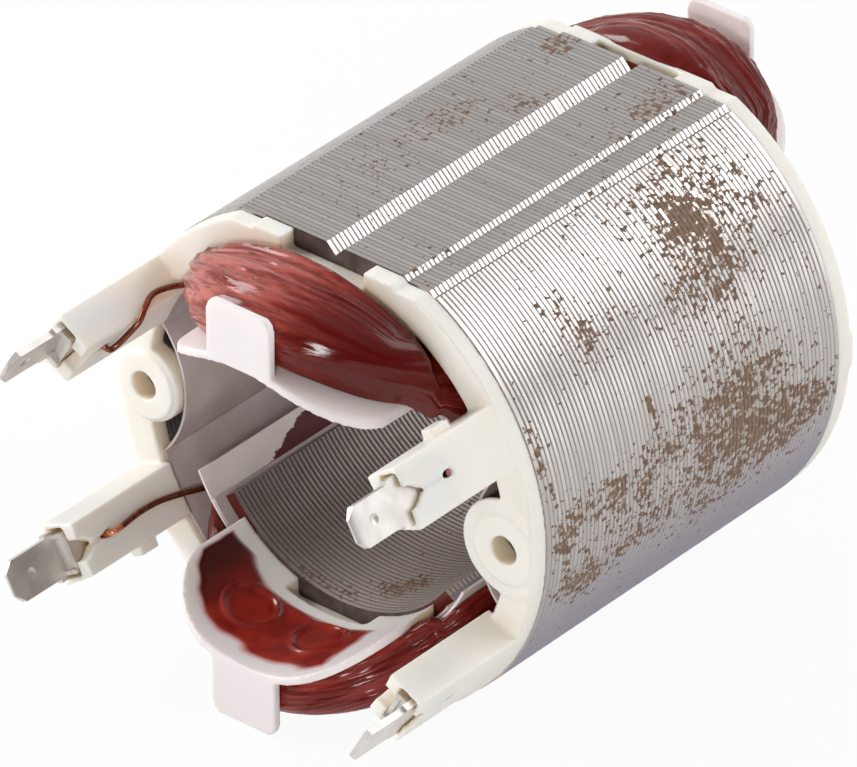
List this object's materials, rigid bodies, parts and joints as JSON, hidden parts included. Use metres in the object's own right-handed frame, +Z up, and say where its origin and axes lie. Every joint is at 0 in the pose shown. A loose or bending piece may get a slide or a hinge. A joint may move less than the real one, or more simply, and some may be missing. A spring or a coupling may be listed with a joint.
{
  "type": "motor stator",
  "caption": "Two-pole laminated field stator of a small universal motor, with lacquered field coils, moulded end insulators, tab terminals on posts and screw holes through the stack.",
  "frame": {"origin": "on the rotor axis, in the plane of the front screw bosses, midway between the two screw holes", "axes": "+Y along the rotor axis from the terminals towards the rear, +Z up along the pole axis, +X towards the right-hand screw hole as seen from the terminals"},
  "size_m": [0.0584, 0.0914, 0.0534],
  "materials": {
    "core_steel": "bare stacked sheet with rust specks",
    "nylon": "natural moulded",
    "lacquer": "impregnated winding, glossy",
    "liner": "insulating sheet",
    "cover": "insulating sheet",
    "tab_metal": "tinned",
    "enamelled_wire": "enamelled copper"
  },
  "bodies": {
    "root": {"lamination_stack": "core_steel", "front_insulator": "nylon", "rear_insulator": "nylon", "upper_coil": "lacquer", "lower_coil": "lacquer", "left_slot_liner": "liner", "right_slot_liner": "liner", "upper_left_slot_cover": "cover", "upper_left_terminal": "tab_metal", "upper_left_lead": "enamelled_wire", "upper_right_slot_cover": "cover", "upper_right_terminal": "tab_metal", "upper_right_lead": "enamelled_wire", "lower_left_slot_cover": "cover", "lower_left_terminal": "tab_metal", "lower_left_lead": "enamelled_wire", "lower_right_slot_cover": "cover", "lower_right_terminal": "tab_metal", "lower_right_lead": "enamelled_wire"}
  },
  "joints": []
}
